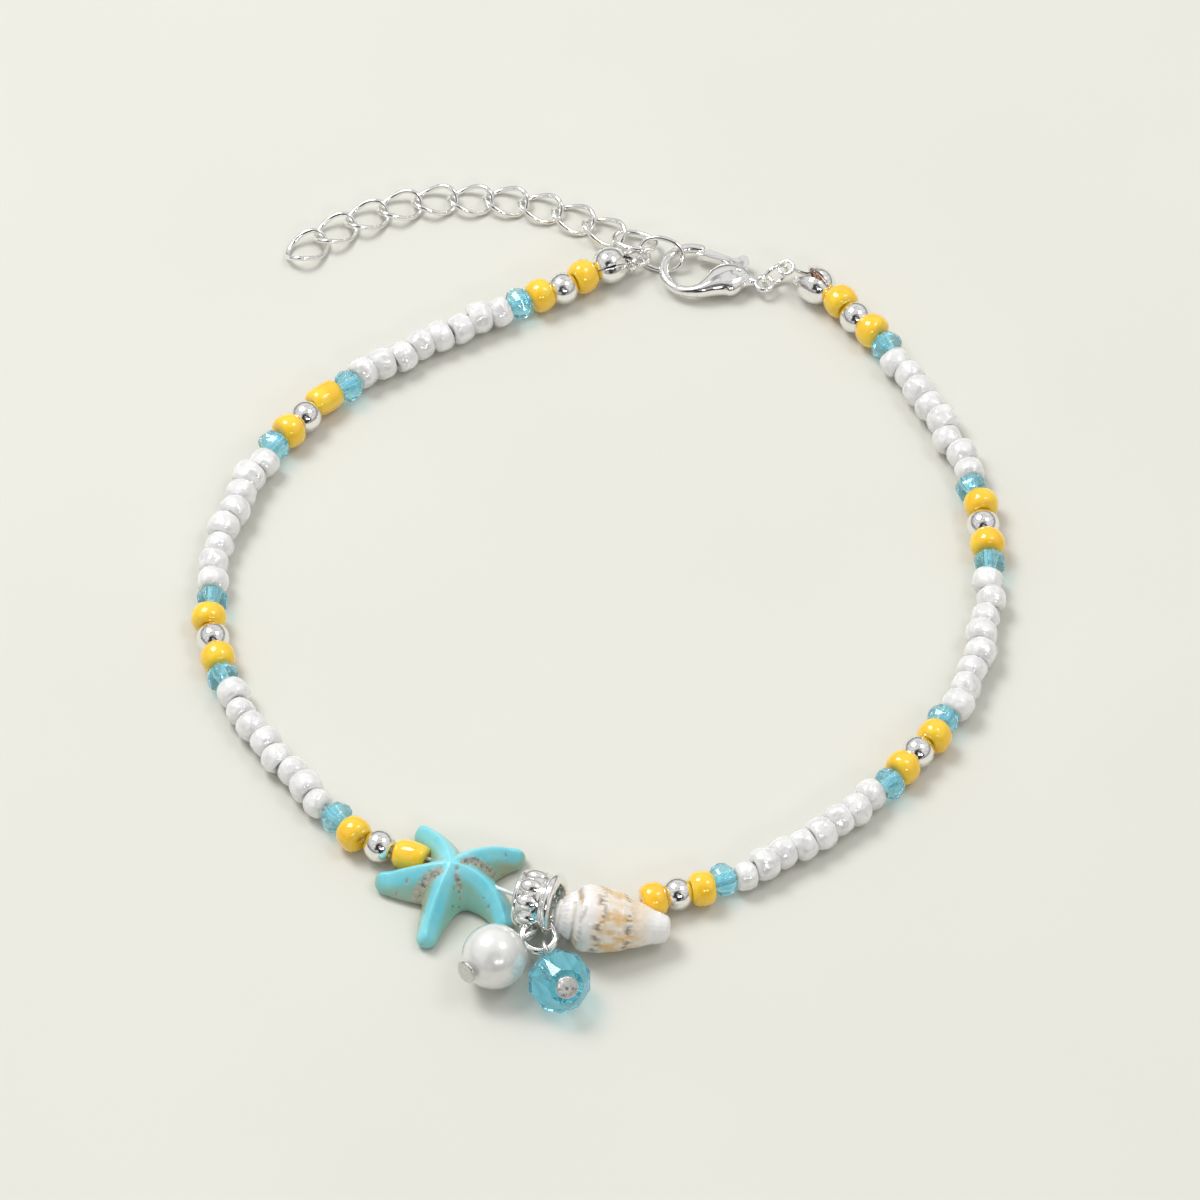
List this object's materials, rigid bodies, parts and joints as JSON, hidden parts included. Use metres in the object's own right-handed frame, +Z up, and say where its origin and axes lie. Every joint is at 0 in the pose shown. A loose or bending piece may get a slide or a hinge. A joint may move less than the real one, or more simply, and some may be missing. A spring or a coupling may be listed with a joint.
{
  "type": "beaded anklet",
  "caption": "Closed loop of white, yellow, silver and aqua seed beads with a turquoise starfish, cone shell, pearl and crystal drops, lobster clasp and extender chain.",
  "frame": {"origin": "on the surface it lies on, under the middle of its whole outline", "axes": "+Z up, the anklet lies flat in X and Y, +Y from the starfish and shell towards the clasp, +X to the right of one who looks along +Y"},
  "size_m": [0.0798, 0.102, 0.0066],
  "materials": {
    "white_glass": "pearly opaque glass, glossy",
    "yellow_glass": "opaque glass, glossy",
    "aqua_glass": "clear glass with lengthwise facets",
    "aqua_crystal": "clear faceted glass",
    "silver_metal": "bright plated metal",
    "copper_metal": "copper-toned plated metal",
    "turquoise_stone": "polished, with brown pits",
    "sea_shell": "polished shell, cream with tan bands",
    "glass_pearl": "pearl lustre",
    "nylon_thread": "clear monofilament"
  },
  "bodies": {
    "anklet": {"bail": "silver_metal", "bead_left_01_yellow": "yellow_glass", "bead_left_02_silver": "silver_metal", "bead_left_03_yellow": "yellow_glass", "bead_left_04_aqua": "aqua_glass", "bead_left_13_aqua": "aqua_glass", "bead_left_14_yellow": "yellow_glass", "bead_left_15_silver": "silver_metal", "bead_left_16_yellow": "yellow_glass", "bead_left_17_aqua": "aqua_glass", "bead_left_26_aqua": "aqua_glass", "bead_left_27_yellow": "yellow_glass", "bead_left_28_silver": "silver_metal", "bead_left_29_yellow": "yellow_glass", "bead_left_30_aqua": "aqua_glass", "bead_left_39_aqua": "aqua_glass", "bead_left_40_yellow": "yellow_glass", "bead_left_41_silver": "silver_metal", "bead_left_42_yellow": "yellow_glass", "bead_right_01_yellow": "yellow_glass", "bead_right_02_silver": "silver_metal", "bead_right_03_yellow": "yellow_glass", "bead_right_04_aqua": "aqua_glass", "bead_right_13_aqua": "aqua_glass", "bead_right_14_yellow": "yellow_glass", "bead_right_15_silver": "silver_metal", "bead_right_16_yellow": "yellow_glass", "bead_right_17_aqua": "aqua_glass", "bead_right_26_aqua": "aqua_glass", "bead_right_27_yellow": "yellow_glass", "bead_right_28_silver": "silver_metal", "bead_right_29_yellow": "yellow_glass", "bead_right_30_aqua": "aqua_glass", "bead_right_39_aqua": "aqua_glass", "bead_right_40_yellow": "yellow_glass", "bead_right_41_silver": "silver_metal", "bead_right_42_yellow": "yellow_glass", "bead_tip_left": "silver_metal", "bead_tip_right": "silver_metal", "clasp_body": "silver_metal", "clasp_link": "silver_metal", "clasp_pivot": "silver_metal", "cone_shell": "sea_shell", "crimp_left": "silver_metal", "crimp_right": "copper_metal", "crystal": "aqua_crystal", "crystal_pin": "silver_metal", "extender_chain": "silver_metal", "jump_ring_left": "silver_metal", "jump_ring_right": "silver_metal", "pearl": "glass_pearl", "pearl_pin": "silver_metal", "starfish": "turquoise_stone", "thread": "nylon_thread", "white_beads_left": "white_glass", "white_beads_right": "white_glass"},
    "lever": {"clasp_lever": "silver_metal"}
  },
  "joints": [
    {"name": "lever_hinge", "type": "hinge", "parent": "anklet", "child": "lever", "pos_m": [0.01395, 0.03898, 0.00125], "axis": [0, 0, 1], "range_deg": [0, 20], "stiffness_Nm_per_rad": 0.003, "springref_deg": -17.19}
  ]
}
